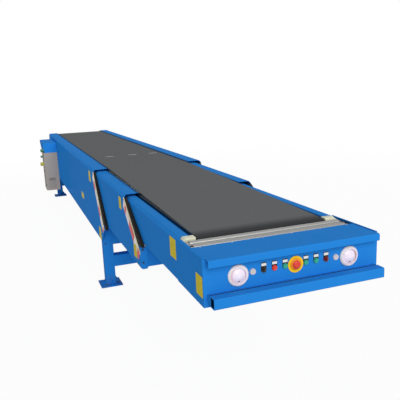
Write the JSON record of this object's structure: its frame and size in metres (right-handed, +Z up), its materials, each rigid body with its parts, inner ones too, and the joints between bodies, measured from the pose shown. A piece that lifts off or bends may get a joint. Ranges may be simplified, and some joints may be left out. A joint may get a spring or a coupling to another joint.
{
  "type": "telescopic belt conveyor",
  "caption": "Telescopic belt conveyor: a legged base with two nested booms that slide out, a wide belt, a nose panel with lamps and buttons, and a side cabinet with a door.",
  "frame": {"origin": "centre of the whole conveyor's footprint on the floor, booms as in the picture", "axes": "+X the way the booms run out, +Z up, +Y to the left of someone looking along +X"},
  "size_m": [8.259, 1.4606, 1.1],
  "materials": {
    "frame_paint": "gloss blue powder coat",
    "bed_sheet": "galvanised sheet",
    "belt": "matt conveyor belt",
    "seal": "matt black rubber",
    "nylon": "cream nylon",
    "drum_steel": "turned steel",
    "roller": "drawn aluminium tube",
    "cabinet_paint": "textured grey powder coat",
    "lamp_rim": "off-white moulded rim",
    "lamp_lens": "frosted lens",
    "sensor": "grey window",
    "selector": "dark knob",
    "green_cap": "green cap",
    "red_cap": "red cap",
    "yellow_cap": "yellow"
  },
  "bodies": {
    "base": {"base_side_right": "frame_paint", "base_side_left": "frame_paint", "base_floor": "frame_paint", "base_bed": "bed_sheet", "base_belt": "belt", "base_tail_plate": "frame_paint", "front_leg_right": "frame_paint", "front_leg_left": "frame_paint", "rear_leg_right": "frame_paint", "rear_leg_left": "frame_paint", "front_leg_beams": "frame_paint", "rear_leg_beams": "frame_paint", "base_support_bar": "nylon", "cabinet_carrier": "frame_paint", "carrier_lamp": "green_cap", "control_cabinet": "cabinet_paint", "cabinet_mounting_plate": "bed_sheet", "drive_unit": "drum_steel", "base_gap_seal_right": "seal", "base_gap_seal_left": "seal"},
    "tail_drum": {"tail_drum": "drum_steel"},
    "cabinet_door": {"cabinet_door": "cabinet_paint", "door_lamps_green": "green_cap", "door_lamps_yellow": "yellow_cap"},
    "middle_boom": {"middle_side_right": "frame_paint", "middle_side_left": "frame_paint", "middle_floor": "frame_paint", "middle_bed": "bed_sheet", "middle_belt": "belt", "middle_front_beam": "frame_paint", "middle_support_bar": "nylon", "middle_gap_seal_right": "seal", "middle_gap_seal_left": "seal"},
    "front_boom": {"front_side_right": "frame_paint", "front_side_left": "frame_paint", "front_floor": "frame_paint", "front_bed": "frame_paint", "front_belt": "belt", "nose_block_right": "nylon", "nose_block_left": "nylon", "nose_hood": "frame_paint", "front_panel": "frame_paint", "bumper_rail": "frame_paint", "bumper": "frame_paint", "headlamp_rims": "lamp_rim", "headlamp_lenses": "lamp_lens", "panel_sensors": "sensor", "selector_switches": "selector", "green_buttons": "green_cap", "red_button": "red_cap", "emergency_stop_plate": "yellow_cap", "emergency_stop_button": "red_cap"},
    "nose_drum": {"nose_drum": "drum_steel"},
    "transfer_roller_rear": {"transfer_roller_rear": "roller"},
    "transfer_roller_front": {"transfer_roller_front": "roller"}
  },
  "joints": [
    {"name": "middle_boom_slide", "type": "slide", "parent": "base", "child": "middle_boom", "axis": [1, 0, 0], "range_m": [-1.05, 2.3]},
    {"name": "front_boom_slide", "type": "slide", "parent": "middle_boom", "child": "front_boom", "axis": [1, 0, 0], "range_m": [-1.05, 2.3]},
    {"name": "cabinet_door_hinge", "type": "hinge", "parent": "base", "child": "cabinet_door", "pos_m": [-3.1195, -0.64975, 0.5675], "axis": [0, 0, -1], "range_deg": [0, 110]},
    {"name": "tail_drum_spin", "type": "hinge", "parent": "base", "child": "tail_drum", "pos_m": [-4.0045, 0.11425, 1.032], "axis": [0, 1, 0], "continuous": true},
    {"name": "nose_drum_spin", "type": "hinge", "parent": "front_boom", "child": "nose_drum", "pos_m": [3.6705, 0.11425, 1.006], "axis": [0, 1, 0], "continuous": true},
    {"name": "transfer_roller_rear_spin", "type": "hinge", "parent": "front_boom", "child": "transfer_roller_rear", "pos_m": [3.7385, 0.11425, 1.033], "axis": [0, 1, 0], "continuous": true},
    {"name": "transfer_roller_front_spin", "type": "hinge", "parent": "front_boom", "child": "transfer_roller_front", "pos_m": [3.8035, 0.11425, 1.031], "axis": [0, 1, 0], "continuous": true}
  ],
  "couplings": [
    {"joint": "front_boom_slide", "follows": "middle_boom_slide", "ratio": 1}
  ]
}
